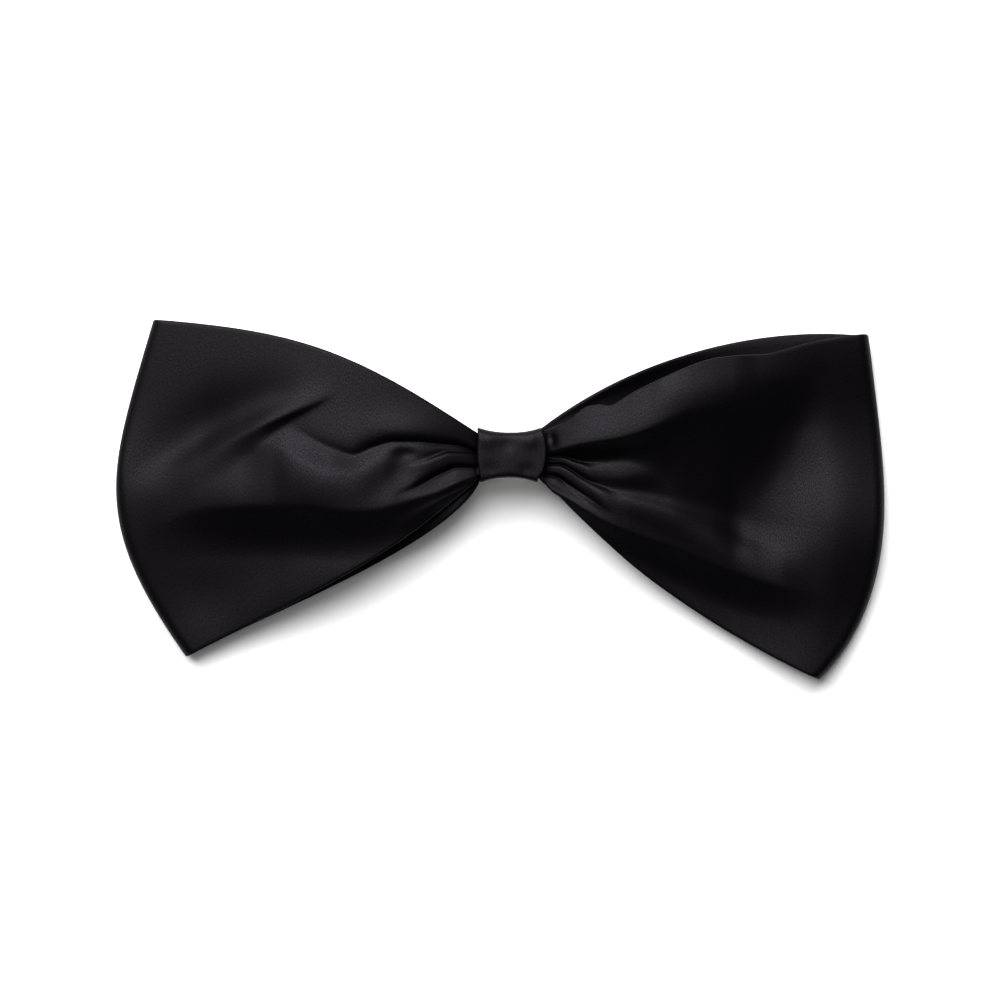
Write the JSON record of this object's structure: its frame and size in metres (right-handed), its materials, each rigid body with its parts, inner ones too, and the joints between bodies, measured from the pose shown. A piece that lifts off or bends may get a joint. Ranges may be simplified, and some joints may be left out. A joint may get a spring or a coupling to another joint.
{
  "type": "pre-tied bow tie with collar clip",
  "caption": "Pre-tied satin bow: two looped wings gathered into a narrow centre band, with a sprung twin-jaw collar clip sewn on behind.",
  "frame": {"origin": "middle of the bow's outline seen from the front, on the surface that the bow lies on", "axes": "+X along the wings to the wearer's left, +Y up when worn, +Z out of the bow's front face"},
  "size_m": [0.1836, 0.0871, 0.0201],
  "materials": {
    "satin": "satin weave, soft sheen",
    "interlining": "matte non-woven",
    "thread": "twisted polyester thread",
    "clip_steel": "bright nickel plate",
    "spring_steel": "bare drawn wire",
    "pad": "soft matte"
  },
  "bodies": {
    "bow": {"bow_band": "satin", "band_interlining": "interlining", "gather_thread": "thread", "knot_band": "satin", "knot_interlining": "interlining", "knot_stitches": "thread", "clip_base": "clip_steel", "left_clip_stitches": "thread", "right_clip_stitches": "thread", "left_pivot_pin": "clip_steel", "right_pivot_pin": "clip_steel", "left_spring": "spring_steel", "right_spring": "spring_steel"},
    "left_jaw": {"left_lever": "clip_steel", "left_grip_pad": "pad"},
    "right_jaw": {"right_lever": "clip_steel", "right_grip_pad": "pad"}
  },
  "joints": [
    {"name": "left_jaw_hinge", "type": "hinge", "parent": "bow", "child": "left_jaw", "pos_m": [-0.0092, 0.0107, 0.0028], "axis": [0, -1, 0], "range_deg": [0, 20], "stiffness_Nm_per_rad": 0.05, "springref_deg": -22.92, "deforming": ["left_spring"]},
    {"name": "right_jaw_hinge", "type": "hinge", "parent": "bow", "child": "right_jaw", "pos_m": [0.0148, 0.0107, 0.0028], "axis": [0, 1, 0], "range_deg": [0, 20], "stiffness_Nm_per_rad": 0.05, "springref_deg": -22.92, "deforming": ["right_spring"]}
  ]
}
